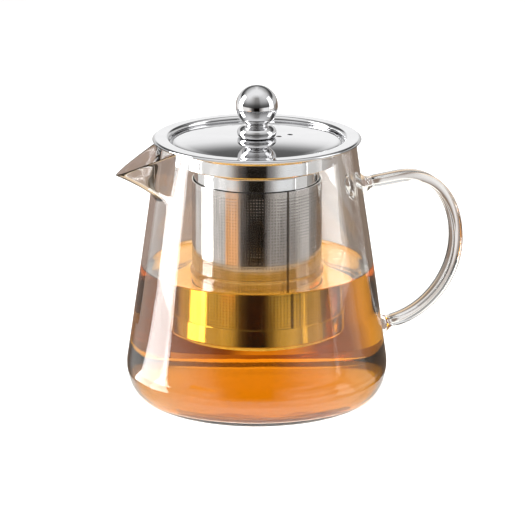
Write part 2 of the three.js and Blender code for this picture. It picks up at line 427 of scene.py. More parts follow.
class Graph:
    """A node tree with short ways to add and join its nodes."""

    def __init__(self, tree: bpy.types.NodeTree) -> None:
        """Take a tree and empty it."""
        self.tree = tree
        tree.nodes.clear()

    def add(self, kind: str, values: dict[str, object] | None = None, **settings: object) -> bpy.types.Node:
        """Add a node.

        Args:
            kind: The node's type.
            values: Input values by socket name.
            settings: The node's own properties.

        Returns:
            The new node.
        """
        node = self.tree.nodes.new(kind)
        for key, value in settings.items():
            setattr(node, key, value)
        for key, value in (values or {}).items():
            node.inputs[key].default_value = value
        return node

    def join(self, source: Socket, target: Socket) -> None:
        """Link an output to an input."""
        self.tree.links.new(source, target)

    def mixed(
        self, factor: Socket | None, first: Tone | Socket, second: Tone | Socket, way: str = "MIX"
    ) -> Socket:
        """Blend two colours.

        Args:
            factor: How much of the second colour shows; all of it if there is none.
            first: First colour, or its socket.
            second: Second colour, or its socket.
            way: Name of the blending way.

        Returns:
            The colour socket.
        """
        node = self.add("ShaderNodeMix", {"Factor": 1.0}, data_type="RGBA", blend_type=way)
        if factor is not None:
            self.join(factor, node.inputs["Factor"])
        for name, colour in (("A", first), ("B", second)):
            socket = next(s for s in node.inputs if s.name == name and s.type == "RGBA")
            if isinstance(colour, tuple):
                socket.default_value = (*colour, 1)
            else:
                self.join(colour, socket)
        return next(s for s in node.outputs if s.type == "RGBA")

    def ranged(
        self, source: Socket, low: float, high: float, start: float = 0.35, end: float = 0.65
    ) -> Socket:
        """Map the range from start to end onto the range from low to high.

        Args:
            source: Value to map.
            low: Result at and before start.
            high: Result at and past end.
            start: Value that gives low.
            end: Value that gives high.

        Returns:
            The mapped socket.
        """
        values = {"From Min": start, "From Max": end, "To Min": low, "To Max": high}
        mapped = self.add("ShaderNodeMapRange", values)
        self.join(source, mapped.inputs["Value"])
        return mapped.outputs["Result"]

    def ramp(self, value: Socket, stops: list[tuple[float, Tone]]) -> Socket:
        """Add a colour ramp.

        Args:
            value: Value that it reads.
            stops: Positions and colours.

        Returns:
            The colour socket.
        """
        node = self.add("ShaderNodeValToRGB")
        elements = node.color_ramp.elements
        for element, (position, colour) in zip(elements, (stops[0], stops[-1])):
            element.position = position
            element.color = (*colour, 1)
        for position, colour in stops[1:-1]:
            elements.new(position).color = (*colour, 1)
        self.join(value, node.inputs["Fac"])
        return node.outputs["Color"]

    def along(self, place: Socket, axis: Vector) -> Socket:
        """The part of a place or a direction that lies along an axis.

        Args:
            place: Socket of the place or the direction.
            axis: The axis.

        Returns:
            The value socket.
        """
        node = self.add("ShaderNodeVectorMath", operation="DOT_PRODUCT")
        node.inputs[1].default_value = axis
        self.join(place, node.inputs[0])
        return node.outputs["Value"]


class ShaderSheet(Graph):
    """One material: a principled shader and the patterns that feed it."""

    def __init__(self, name: str, values: dict[str, object]) -> None:
        """Start a material.

        Args:
            name: Name of the material.
            values: The shader's own input values.
        """
        self.material = bpy.data.materials.new(name)
        self.material.use_nodes = True
        super().__init__(self.material.node_tree)
        self.output = self.add("ShaderNodeOutputMaterial")
        self.place = self.add("ShaderNodeTexCoord").outputs["Object"]
        self.shader = self.add("ShaderNodeBsdfPrincipled", values)
        self.join(self.shader.outputs["BSDF"], self.output.inputs["Surface"])

    def feed(self, sources: dict[str, Socket]) -> Material:
        """Link patterns to the shader.

        Args:
            sources: Patterns by the name of the shader's input.

        Returns:
            The finished material.
        """
        for name, source in sources.items():
            self.join(source, self.shader.inputs[name])
        return self.material

    def pattern(self, kind: str, values: dict[str, object], **settings: object) -> bpy.types.Node:
        """Add a texture that is read in the object's own space.

        Args:
            kind: The node's type.
            values: Input values by socket name.
            settings: The node's own properties.

        Returns:
            The new node.
        """
        node = self.add(kind, values, **settings)
        self.join(self.place, node.inputs["Vector"])
        return node

    def noise(self, scale: float, detail: float = 2.0, stretch: Triple = (1, 1, 1)) -> Socket:
        """Add a noise pattern in the object's own space.

        Args:
            scale: Pattern scale, in waves per metre.
            detail: Number of finer layers.
            stretch: Scale along each axis before the pattern is read.

        Returns:
            The pattern's factor socket.
        """
        mapping = self.pattern("ShaderNodeMapping", {"Scale": stretch})
        pattern = self.add("ShaderNodeTexNoise", {"Scale": scale, "Detail": detail})
        self.join(mapping.outputs["Vector"], pattern.inputs["Vector"])
        return pattern.outputs["Fac"]

    def steel(self, wear: Socket, colour: Tone, share: float, roughness: Span, relief: Socket) -> Material:
        """Feed the shader of a steel finish.

        Args:
            wear: Pattern of the wear; low where the steel is dull.
            colour: Colour of the clean steel.
            share: Share of the colour that is left where the steel is dull.
            roughness: Roughness where the pattern is low and where it is high.
            relief: Fine relief of the surface.

        Returns:
            The finished material.
        """
        dull = tuple(c * share for c in colour)
        return self.feed({
            "Base Color": self.mixed(self.ranged(wear, 0, 1), dull, colour),
            "Roughness": self.ranged(wear, *roughness),
            "Normal": relief,
        })

    def bump(self, height: Socket, strength: float, distance: float, under: Socket | None = None) -> Socket:
        """Turn a pattern into relief.

        Args:
            height: Pattern read as height.
            strength: Share of the relief that shows.
            distance: Height of the relief, in metres.
            under: Relief that this one adds to.

        Returns:
            The normal socket.
        """
        node = self.add("ShaderNodeBump", {"Strength": strength, "Distance": distance})
        self.join(height, node.inputs["Height"])
        if under is not None:
            self.join(under, node.inputs["Normal"])
        return node.outputs["Normal"]


@dataclass(frozen=True)
class ClearGlass:
    """Fire-finished borosilicate glass with the slight waves of hand work."""

    name: str = "clear_glass"
    ior: float = 1.47
    colour: Tone = (0.985, 0.99, 0.988)
    smear_roughness: float = 0.03
    smear_range: Span = (0.56, 0.8)
    wave_stretch: Triple = (1, 1, 0.45)

    def make(self) -> Material:
        """Build the material."""
        sheet = ShaderSheet(self.name, {
            "Base Color": (*self.colour, 1), "IOR": self.ior, "Transmission Weight": 1.0,
        })
        smears = sheet.ranged(sheet.noise(45.0, 4.0), 0.0, self.smear_roughness, *self.smear_range)
        waves = sheet.bump(sheet.noise(38.0, 1.0, self.wave_stretch), 0.5, 0.2 * MM)
        fine = sheet.bump(sheet.noise(160.0), 0.12, 0.1 * MM, waves)
        return sheet.feed({"Roughness": smears, "Normal": fine})


@dataclass(frozen=True)
class BrewedTea:
    """Clear amber tea, darker the further one looks through it."""

    name: str = "brewed_tea"
    ior: float = 1.333
    colour: Tone = (0.98, 0.755, 0.0)
    density: float = 54.0

    def make(self) -> Material:
        """Build the material."""
        sheet = ShaderSheet(self.name, {
            "Base Color": (1, 1, 1, 1), "IOR": self.ior, "Transmission Weight": 1.0, "Roughness": 0.0,
        })
        amber = {"Color": (*self.colour, 1), "Density": self.density}
        volume = sheet.add("ShaderNodeVolumeAbsorption", amber)
        sheet.join(volume.outputs["Volume"], sheet.output.inputs["Volume"])
        return sheet.feed({"Normal": sheet.bump(sheet.noise(70.0, 1.0), 0.35, 0.2 * MM)})


@dataclass(frozen=True)
class PolishedSteel:
    """Mirror-polished stainless steel with faint spinning lines and handling haze."""

    name: str = "polished_steel"
    colour: Tone = (0.80, 0.80, 0.81)
    haze: Span = (0.02, 0.06)
    worn_share: float = 0.93

    def make(self) -> Material:
        """Build the material."""
        sheet = ShaderSheet(self.name, {"Metallic": 1.0})
        patches = sheet.noise(55.0, 5.0)
        wave = {"Scale": 260.0, "Distortion": 1.5, "Detail": 2.0}
        rings = sheet.pattern("ShaderNodeTexWave", wave, wave_type="RINGS", rings_direction="Z")
        lines = sheet.bump(rings.outputs["Fac"], 0.05, 0.02 * MM)
        dents = sheet.bump(sheet.noise(60.0, 1.0), 0.06, 0.2 * MM, lines)
        return sheet.steel(patches, self.colour, self.worn_share, self.haze, dents)


@dataclass(frozen=True)
class EtchedSteel:
    """Satin sheet for the strainer, with a fine etched grain and upright rolling streaks."""

    name: str = "etched_mesh_steel"
    colour: Tone = (0.69, 0.655, 0.63)
    roughness: Span = (0.08, 0.15)
    worn_share: float = 0.82
    streak_stretch: Triple = (1, 1, 0.06)

    def make(self) -> Material:
        """Build the material."""
        sheet = ShaderSheet(self.name, {"Metallic": 1.0})
        streaks = sheet.noise(260.0, 3.0, self.streak_stretch)
        grain = sheet.pattern("ShaderNodeTexVoronoi", {"Scale": 1800.0})
        relief = sheet.bump(grain.outputs["Distance"], 0.08, 0.05 * MM)
        return sheet.steel(streaks, self.colour, self.worn_share, self.roughness, relief)


@dataclass(frozen=True)
class TurnedSteel:
    """Plain lathe-turned steel of the screw, its washer and the threaded bush."""

    name: str = "plain_steel"
    colour: Tone = (0.60, 0.61, 0.63)
    roughness: Span = (0.22, 0.40)
    worn_share: float = 0.78

    def make(self) -> Material:
        """Build the material."""
        sheet = ShaderSheet(self.name, {"Metallic": 1.0})
        tarnish = sheet.noise(420.0, 4.0)
        rings = sheet.pattern("ShaderNodeTexWave", {"Scale": 900.0}, wave_type="RINGS", rings_direction="Z")
        relief = sheet.bump(rings.outputs["Fac"], 0.3, 0.04 * MM)
        return sheet.steel(tarnish, self.colour, self.worn_share, self.roughness, relief)


class Finishes:
    """Every material of the teapot, made once."""

    def __init__(self) -> None:
        """Build the materials."""
        self.glass = ClearGlass().make()
        self.tea = BrewedTea().make()
        self.polished = PolishedSteel().make()
        self.etched = EtchedSteel().make()
        self.seam = EtchedSteel("weld_seam_steel", (0.20, 0.17, 0.15)).make()
        self.turned = TurnedSteel().make()


# ---------------------------------------------------------------- glass vessel and tea


@dataclass
class Vessel:
    """The blown pot with its pulled spout, its fused strap handle and the tea in it."""

    wall: float = 2.3 * MM
    floor: float = 3.4 * MM
    base_radius: float = 49 * MM
    belly_radius: float = 57.2 * MM
    belly_height: float = 18 * MM
    belly_fullness: Span = (0.6, 0.47)
    rim_radius: float = 43 * MM
    mould_ring: float = 0.16 * MM
    mould_pitch: float = 2.1 * MM
    mould_span: Span = (0.4, 0.8)
    unevenness: float = 0.22 * MM
    segments: int = 288
    crowding: float = 0.55
    spout_depth: float = 23 * MM
    spout_half_width: float = 13.3 * MM
    spout_drop: float = 10.6 * MM
    fold_powers: Triple = (1.15, 1.45, 1.2)
    strap_width: float = 8 * MM
    strap_thickness: float = 4.8 * MM
    strap_steps: int = 40
    upper_drop: float = 24.7 * MM
    upper_bend: Span = (20 * MM, 2.2 * MM)
    upper_pull: Span = (0.62, 0.6)
    bow_drop: float = 28 * MM
    lower_height: float = 25 * MM
    lower_bend: Span = (8 * MM, 1.4 * MM)
    lower_pull: Span = (0.5, 0.55)
    weld_sink: float = 1.3 * MM
    bead_width: float = 13 * MM
    bead_height: float = 10.6 * MM
    bead_length: Span = (2.4 * MM, 7.2 * MM)
    waist_share: float = 0.10
    waist_place: float = 8.5 * MM
    waist_length: float = 1.6 * MM
    lump: float = 0.55 * MM
    drawn: float = 0.12 * MM
    tea_level: float = 57.8 * MM
    tea_creep: float = 1.5 * MM
    tube_creep: float = 0.8 * MM
    creep_widths: Span = (1.5 * MM, 1.2 * MM)
    tea_overlap: float = 0.35 * MM
    tube_radius: float = 28.4 * MM
    height: float = field(init=False)
    spout_reach: float = field(init=False)
    handle_reach: float = field(init=False)

    def __post_init__(self) -> None:
        """Take the height, the spout's reach and the handle's reach from the CAD nodes."""
        low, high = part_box("glass_body")
        self.height = high.z
        self.spout_reach = -low.x - self.rim_radius + 0.6 * MM
        self.handle_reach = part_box("glass_handle")[1].x - self.strap_thickness / 2

    def wall_radius(self, height: float) -> float:
        """Outer radius of the straight taper at a height."""
        share = (height - self.belly_height) / (self.height - self.belly_height)
        return lerp(self.belly_radius, self.rim_radius, share)

    def skin(self) -> Outline:
        """Outer skin from the middle of the base to just under the rim."""
        wide, tall = self.belly_fullness
        swell = tall * self.belly_height
        corner = bezier(points(
            (self.base_radius, 0),
            (lerp(self.base_radius, self.belly_radius, wide), 0),
            (self.wall_radius(swell), swell),
            (self.belly_radius, self.belly_height),
        ), 18)
        floor_steps, wall_steps = 10, 64
        base = points(*((self.base_radius * i / floor_steps, 0) for i in range(floor_steps)))
        top = self.height - self.wall / 2
        heights = [lerp(self.belly_height, top, (i + 1) / wall_steps) for i in range(wall_steps)]
        return [*base, *corner, *points(*((self.wall_radius(z), z) for z in heights))]

    def lining(self, extra: float = 0.0) -> Outline:
        """Inner skin, from the middle of the floor upwards, with the soft rings of the mould.

        Args:
            extra: How far the lining is moved into the glass.

        Returns:
            Points that match those of the outer skin.
        """
        skin = self.skin()
        lining = []
        for point, inward in zip(skin, offset(skin, -1.0)):
            upright = smoothstep(0, self.belly_height, point.y)
            fade = smoothstep(*self.mould_span, point.x / self.base_radius)
            ring = self.mould_ring * math.sin(point.x / self.mould_pitch) * fade
            depth = lerp(self.floor, self.wall, upright) + ring * (1 - upright) - extra
            lining.append(point + (inward - point) * depth)
        lining[0].x = 0
        return lining

    def folded(self, point: Vector) -> Vector:
        """Where the spout's fold takes a point of the plain pot.

        Args:
            point: Point of the plain pot.

        Returns:
            The folded point.
        """
        start = self.height - self.spout_depth
        rise = min(max((point.z - start) / self.spout_depth, 0.0), 1.0)
        across = abs(point.y) / self.spout_half_width
        if point.x > 0 or rise == 0 or across >= 1:
            return point
        climb, spread, edge = self.fold_powers
        pull = rise**climb * (1 - across**spread) ** edge
        return point - Vector((self.spout_reach * pull, 0, self.spout_drop * pull))

    def hand_worked(self, point: Vector) -> Vector:
        """The point with the slight unevenness of blown glass.

        Args:
            point: Point of the even pot.

        Returns:
            The moved point.
        """
        if point.z < 0.5 * MM:
            return point
        sway = noise.noise(point * 22.0) * self.unevenness
        out = Vector((point.x, point.y, 0)).normalized()
        return point + out * sway * smoothstep(0.5 * MM, 6 * MM, point.z)

    def build_pot(self) -> Thing:
        """Turn the pot, crowd its segments towards the spout and fold the spout out."""
        outer = self.skin()
        top = outer[-1]
        rim = arc((top.x - self.wall / 2, top.y), self.wall / 2, 0, 180, 10)[1:-1]
        outline = [*outer, *rim, *reversed(self.lining())]
        vertices: list[Vector] = []
        for s in range(self.segments):
            angle = 2 * math.pi * s / self.segments
            crowded = angle - self.crowding * math.sin(angle)
            for p in outline:
                place = Vector((-p.x * math.cos(crowded), p.x * math.sin(crowded), p.y))
                vertices.append(self.folded(self.hand_worked(place)))
        faces = lattice(self.segments, len(outline), len(outline) - 1)
        return mesh_object("glass_pot", vertices, faces, 60)

    def strap_path(self) -> list[Vector]:
        """Middle line of the strap, from inside the upper wall to inside the lower wall."""
        upper_z, lower_z = self.height - self.upper_drop, self.lower_height
        upper_wall, lower_wall = self.wall_radius(upper_z), self.wall_radius(lower_z)
        upper = Vector((upper_wall - self.weld_sink, 0, upper_z))
        bend = Vector((upper_wall + self.upper_bend[0], 0, upper_z + self.upper_bend[1]))
        farthest = Vector((self.handle_reach, 0, upper_z - self.bow_drop))
        lower = Vector((lower_wall - self.weld_sink, 0, lower_z))
        turn = Vector((lower_wall + self.lower_bend[0], 0, lower_z + self.lower_bend[1]))
        lead = (bend - upper).normalized() * self.upper_pull[0] * (farthest.x - bend.x)
        trail = (turn - lower).normalized() * self.lower_pull[0] * (farthest.x - turn.x)
        above = Vector((farthest.x, 0, lerp(farthest.z, bend.z, self.upper_pull[1])))
        below = Vector((farthest.x, 0, lerp(farthest.z, turn.z, self.lower_pull[1])))
        first = [upper.lerp(bend, i / 26) for i in range(26)]
        crown = bezier([bend, bend + lead, above, farthest], 40)
        heel = bezier([farthest, below, turn + trail, turn], 40)[1:-1]
        last = [turn.lerp(lower, i / 14) for i in range(15)]
        return [*first, *crown, *heel, *last]

    def strap_section(self, swell: float) -> list[Span]:
        """Section of the strap as (across, through), swollen into a bead near the wall.

        Args:
            swell: 0 for the plain strap, 1 for the full bead.

        Returns:
            Points of the closed section.
        """
        section = []
        half_width = lerp(self.strap_width, self.bead_width, swell) / 2
        half_through = lerp(self.strap_thickness, self.bead_height, swell) / 2
        power = lerp(0.42, 0.95, swell)
        for i in range(self.strap_steps):
            angle = 2 * math.pi * i / self.strap_steps
            across = math.copysign(abs(math.cos(angle)) ** power, math.cos(angle)) * half_width
            through = math.copysign(abs(math.sin(angle)) ** power, math.sin(angle)) * half_through
            section.append((across, through))
        return section

    def build_strap(self) -> Thing:
        """Sweep the strap and swell both ends into the fused beads."""
        path = self.strap_path()
        lengths = [0.0]
        for a, b in zip(path, path[1:]):
            lengths.append(lengths[-1] + (b - a).length)
        total = lengths[-1]
        vertices: list[Vector] = []
        for i, point in enumerate(path):
            ahead = path[min(i + 1, len(path) - 1)] - path[max(i - 1, 0)]
            through = Vector((-ahead.z, 0, ahead.x)).normalized()
            near = min(lengths[i], total - lengths[i])
            swell = 1 - smoothstep(*self.bead_length, near)
            narrow = math.exp(-(((near - self.waist_place) / self.waist_length) ** 2))
            waist = 1 - self.waist_share * narrow
            for across, thick in self.strap_section(swell):
                place = point + Vector((0, across * waist, 0)) + through * thick * waist
                lump = noise.noise(place * 260.0) * self.lump * swell
                drawn = noise.noise(place * 60.0) * self.drawn
                vertices.append(place + (place - point).normalized() * (lump + drawn))
        count = self.strap_steps
        rings = len(path)
        faces = lattice(rings, count, count)[: (rings - 1) * count]
        faces = [[a, d, c, b] for a, b, c, d in faces]
        faces.append(list(reversed(range(count))))
        faces.append([(rings - 1) * count + k for k in range(count)])
        return mesh_object("glass_strap", vertices, faces, 60)

    def build_tea(self) -> Thing:
        """Fill the pot up to the tea's level, creeping up the wall and up the strainer."""
        lining = self.lining(self.tea_overlap)
        edge_height = self.tea_level + self.tea_creep
        below = [p for p in lining if p.y < edge_height - 0.2 * MM]
        lower, upper = next((a, b) for a, b in zip(lining, lining[1:]) if a.y <= edge_height < b.y)
        edge = lower.lerp(upper, (edge_height - lower.y) / (upper.y - lower.y))
        wet_wall = edge.x - self.tea_overlap
        surface = []
        steps = 150
        for i in range(1, steps + 1):
            radius = wet_wall * (1 - i / steps)
            up_wall = self.tea_creep * math.exp(-(wet_wall - radius) / self.creep_widths[0])
            up_tube = self.tube_creep * math.exp(-abs(radius - self.tube_radius) / self.creep_widths[1])
            surface.append(Vector((radius, self.tea_level + up_wall + up_tube)))
        return turned("brewed_tea", [*below, edge, *surface], 224, closed=False)

    def build(self, finishes: Finishes) -> None:
        """Make the vessel and its tea, and set them in place.

        Args:
            finishes: The teapot's materials.
        """
        vessel = combined(self.build_pot(), self.build_strap(), "UNION")
        vessel.name = "glass_vessel"
        vessel.data.shade_smooth()
        vessel.visible_shadow = False
        finished(vessel, finishes.glass, Slot.GLASS, Body.POT, "glass_body", "glass_handle")
        tea = self.build_tea()
        tea.visible_shadow = False
        finished(tea, finishes.tea, Slot.GLASS, Body.POT)


# ---------------------------------------------------------------- infuser basket


class PerforatedSheet(Graph):
    """A Geometry Nodes tree that makes a sheet of square holes, flat or rolled into a tube."""

    def __init__(self, name: str, rolled: bool) -> None:
        """Build the tree.

        Args:
            name: Name of the tree.
            rolled: Whether the sheet is rolled about the upright axis.
        """
        super().__init__(bpy.data.node_groups.new(name, "GeometryNodeTree"))
        kinds = {
            "Columns": "Int", "Rows": "Int", "Radius": "Float", "Height": "Float", "Bottom": "Float",
            "Hole Share": "Float", "Finish": "Material",
        }
        declare = self.tree.interface.new_socket
        self.sockets = {
            key: declare(key, in_out="INPUT", socket_type="NodeSocket" + kind).identifier
            for key, kind in kinds.items()
        }
        declare("Geometry", in_out="OUTPUT", socket_type="NodeSocketGeometry")
        self.given = self.add("NodeGroupInput").outputs
        apart = self.add("ShaderNodeSeparateXYZ")
        self.join(self.add("GeometryNodeInputPosition").outputs["Position"], apart.inputs["Vector"])
        self.place = apart.outputs
        shape = self.placed(self.punched(rolled), self.roll() if rolled else self.lay_flat())
        if not rolled:
            shape = self.trimmed_round(shape)
        self.give(shape)

    def math(self, operation: str, first: Socket | float, second: Socket | float = 0.0) -> Socket:
        """Add a sum of one or two values.

        Args:
            operation: Name of the operation.
            first: Socket or number.
            second: Socket or number.

        Returns:
            The result's socket.
        """
        made = self.add("ShaderNodeMath", operation=operation)
        for socket, value in zip(made.inputs, (first, second)):
            if isinstance(value, (int, float)):
                socket.default_value = value
            else:
                self.join(value, socket)
        return made.outputs[0]

    def step(
        self, kind: str, sources: dict[str, Socket], output: str = "Geometry", **settings: object
    ) -> Socket:
        """Add a node that is fed by sockets only.

        Args:
            kind: The node's type.
            sources: Sockets by the name of the node's input.
            output: Name of the output.
            settings: The node's own properties.

        Returns:
            The output's socket.
        """
        made = self.add(kind, **settings)
        for name, source in sources.items():
            self.join(source, made.inputs[name])
        return made.outputs[output]

    def punched(self, rolled: bool) -> Socket:
        """A flat grid with a hole in every cell.

        Args:
            rolled: Whether the sheet is as wide as the tube is round, or as the circle is across.

        Returns:
            The punched sheet.
        """
        around = self.math("MULTIPLY", self.given["Radius"], 2 * math.pi if rolled else 2.0)
        grid = self.step("GeometryNodeMeshGrid", {
            "Size X": around, "Size Y": self.given["Height"],
            "Vertices X": self.given["Columns"], "Vertices Y": self.given["Rows"],
        }, "Mesh")
        apart = {"Individual": True, "Offset Scale": 0.0}
        cells = self.add("GeometryNodeExtrudeMesh", apart, mode="FACES")
        self.join(grid, cells.inputs["Mesh"])
        top = cells.outputs["Top"]
        shrunk = self.step("GeometryNodeScaleElements", {
            "Geometry": cells.outputs["Mesh"], "Selection": top, "Scale": self.given["Hole Share"],
        }, domain="FACE")
        holes = {"Geometry": shrunk, "Selection": top}
        return self.step("GeometryNodeDeleteGeometry", holes, domain="FACE")

    def roll(self) -> Socket:
        """Position of each point on the rolled tube."""
        radius = self.given["Radius"]
        angle = self.math("DIVIDE", self.place["X"], radius)
        middle = self.math("ADD", self.given["Bottom"], self.math("MULTIPLY", self.given["Height"], 0.5))
        return self.step("ShaderNodeCombineXYZ", {
            "X": self.math("MULTIPLY", self.math("COSINE", angle), radius),
            "Y": self.math("MULTIPLY", self.math("SINE", angle), radius),
            "Z": self.math("ADD", self.place["Y"], middle),
        }, "Vector")

    def lay_flat(self) -> Socket:
        """Position of each point on the flat sheet."""
        flat = {"X": self.place["X"], "Y": self.place["Y"], "Z": self.given["Bottom"]}
        return self.step("ShaderNodeCombineXYZ", flat, "Vector")

    def placed(self, geometry: Socket, position: Socket) -> Socket:
        """The geometry with its points moved to their positions."""
        return self.step("GeometryNodeSetPosition", {"Geometry": geometry, "Position": position})

    def trimmed_round(self, geometry: Socket) -> Socket:
        """The flat sheet without the faces that lie outside the circle.

        Args:
            geometry: The flat sheet.

        Returns:
            The trimmed sheet.
        """
        squares = [self.math("POWER", self.place[axis], 2.0) for axis in ("X", "Y")]
        distance = self.math("SQRT", self.math("ADD", *squares))
        outside = self.math("GREATER_THAN", distance, self.given["Radius"])
        cut = {"Geometry": geometry, "Selection": outside}
        return self.step("GeometryNodeDeleteGeometry", cut, domain="FACE")

    def give(self, geometry: Socket) -> None:
        """Weld the sheet, realize it, paint it and hand it out.

        Args:
            geometry: The shaped sheet.
        """
        weld = self.add("GeometryNodeMergeByDistance", {"Distance": 0.001 * MM})
        self.join(geometry, weld.inputs["Geometry"])
        real = self.step("GeometryNodeRealizeInstances", {"Geometry": weld.outputs["Geometry"]})
        paint = {"Geometry": real, "Material": self.given["Finish"]}
        painted = self.step("GeometryNodeSetMaterial", paint)
        self.join(painted, self.add("NodeGroupOutput").inputs["Geometry"])

    def make(self, name: str, gauge: float, values: dict[str, object]) -> Thing:
        """Make one sheet.

        Args:
            name: Name of the piece.
            gauge: Thickness of the sheet.
            values: The tree's inputs by name.

        Returns:
            The sheet as a plain mesh.
        """
        made = linked(name, bpy.data.meshes.new(name))
        modifier = made.modifiers.new("perforate", "NODES")
        modifier.node_group = self.tree
        for key, value in values.items():
            modifier[self.sockets[key]] = value
        thick = made.modifiers.new("gauge", "SOLIDIFY")
        thick.thickness = gauge
        thick.offset = 0
        return baked(made)


@dataclass
class Basket:
    """The infuser: brim, shoulder, perforated tube with its seam, and base cup."""

    gauge: float = 0.8 * MM
    recess_depth: float = 3.2 * MM
    recess_radius: float = 38.2 * MM
    collar_radius: float = 35.0 * MM
    edge_drop: float = 1.4 * MM
    gap: float = 0.3 * MM
    bend: float = 1.1 * MM
    shoulder_bend: float = 0.9 * MM
    mesh_gauge: float = 0.45 * MM
    band: float = 2.4 * MM
    seam_degrees: float = -82.0
    seam_width: float = 0.8 * MM
    seam_rise: float = 0.2 * MM
    tube_grid: tuple[int, int] = (137, 49)
    tube_hole_share: float = 0.34
    mesh_lap: float = 0.2 * MM
    cup_bend: float = 1.8 * MM
    cup_ring_share: float = 0.84
    floor_share: float = 0.87
    floor_cells: int = 40
    floor_hole_share: float = 0.42
    segments: int = 224

    def build_brim(self) -> Thing:
        """Spin the flange, its turned-down edge, the lid's recess and the collar."""
        low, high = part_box("infuser_brim")
        half = self.gauge / 2
        edge = high.x - half
        ledge = high.z - self.recess_depth - half
        path = filleted([
            (edge - 0.9 * MM, high.z - self.edge_drop + 0.1 * MM),
            (edge, high.z - self.edge_drop + half * 0.6),
            (edge, high.z - half),
            (self.recess_radius + half, high.z - half),
            (self.recess_radius + half, ledge),
            (self.collar_radius - half, ledge),
            (self.collar_radius - half, low.z),
        ], self.bend)
        return spun_sheet("infuser_brim_spun", path, self.gauge, self.segments)

    def build_shoulder(self) -> Thing:
        """Spin the ring that laps inside the collar, bends in below it and laps inside the tube."""
        low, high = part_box("infuser_shoulder")
        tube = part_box("infuser_mesh_tube")[1]
        half = self.gauge / 2
        upper = high.x - half
        lower = tube.x - self.gauge - self.gap - half
        collar_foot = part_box("infuser_brim")[0].z
        path = filleted([
            (upper, high.z),
            (upper, collar_foot - 0.5 * MM),
            (lower, collar_foot - 2.2 * MM),
            (lower, low.z),
        ], self.shoulder_bend)
        return spun_sheet("infuser_shoulder_ring", path, self.gauge, self.segments)

    def tube_bar(
        self, angles: Span, heights: Span, out: float, steps: int
    ) -> Bar:
        """A bar of the tube's sheet.

        Args:
            angles: Its first and last angle.
            heights: Its foot and its head.
            out: How far it stands out from the tube.
            steps: Number of stretches round the tube.

        Returns:
            The bar.
        """
        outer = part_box("infuser_mesh_tube")[1].x + out
        return Bar(*angles, outer - self.mesh_gauge, outer, *heights, steps)

    def build_bands(self) -> Thing:
        """Plain unetched bands at both ends of the tube."""
        low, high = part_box("infuser_mesh_tube")
        spans = ((low.z, low.z + self.band), (high.z - self.band, high.z))
        return bent_bars("infuser_tube_bands", [self.tube_bar((0, 360), span, 0, 200) for span in spans])

    def build_seam(self) -> Thing:
        """Narrow upright weld that closes the rolled tube."""
        low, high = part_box("infuser_mesh_tube")
        half = math.degrees(self.seam_width / 2 / high.x)
        angles = (self.seam_degrees - half, self.seam_degrees + half)
        bar = self.tube_bar(angles, (low.z, high.z), self.seam_rise, 6)
        return bent_bars("infuser_tube_seam", [bar])

    def build_tube(self, finishes: Finishes) -> Thing:
        """Roll the perforated sheet between the two plain bands.

        Args:
            finishes: The teapot's materials.

        Returns:
            The rolled sheet.
        """
        low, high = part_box("infuser_mesh_tube")
        sheet = PerforatedSheet("rolled_perforated_sheet", rolled=True)
        return sheet.make("infuser_tube_mesh", self.mesh_gauge, {
            "Columns": self.tube_grid[0], "Rows": self.tube_grid[1], "Radius": high.x - self.mesh_gauge / 2,
            "Height": high.z - low.z - 2 * self.band + 2 * self.mesh_lap,
            "Bottom": low.z + self.band - self.mesh_lap,
            "Hole Share": self.tube_hole_share, "Finish": finishes.etched,
        })

    def build_cup(self) -> Thing:
        """Spin the base cup: upturned side and a flat ring round the perforated middle."""
        low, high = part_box("infuser_base_cup")
        half = self.mesh_gauge / 2
        inner = high.x * self.cup_ring_share
        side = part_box("infuser_mesh_tube")[1].x + 0.05 * MM + half
        path = filleted([(inner, low.z + half), (side, low.z + half), (side, high.z)], self.cup_bend)
        return spun_sheet("infuser_cup_side", path, self.mesh_gauge, 200)

    def build_cup_floor(self, finishes: Finishes) -> Thing:
        """Cut the round perforated middle of the base.

        Args:
            finishes: The teapot's materials.

        Returns:
            The round sheet.
        """
        low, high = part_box("infuser_base_cup")
        radius = high.x * self.floor_share
        sheet = PerforatedSheet("flat_perforated_sheet", rolled=False)
        return sheet.make("infuser_cup_floor", self.mesh_gauge, {
            "Columns": self.floor_cells, "Rows": self.floor_cells, "Radius": radius,
            "Height": 2 * radius, "Bottom": low.z + self.gauge / 2,
            "Hole Share": self.floor_hole_share, "Finish": finishes.etched,
        })

    def build(self, finishes: Finishes) -> None:
        """Make the basket's pieces and set them in place.

        Args:
            finishes: The teapot's materials.
        """
        for piece, material, slot, *nodes in (
            (self.build_brim(), finishes.polished, Slot.POLISHED, "infuser_brim"),
            (self.build_shoulder(), finishes.polished, Slot.POLISHED, "infuser_shoulder"),
            (self.build_tube(finishes), finishes.etched, Slot.MESH, "infuser_mesh_tube"),
            (self.build_bands(), finishes.etched, Slot.MESH),
            (self.build_seam(), finishes.seam, Slot.MESH),
            (self.build_cup(), finishes.etched, Slot.MESH, "infuser_base_cup"),
            (self.build_cup_floor(finishes), finishes.etched, Slot.MESH),
        ):
            finished(piece, material, slot, Body.INFUSER, *nodes)


# ---------------------------------------------------------------- lid and knob


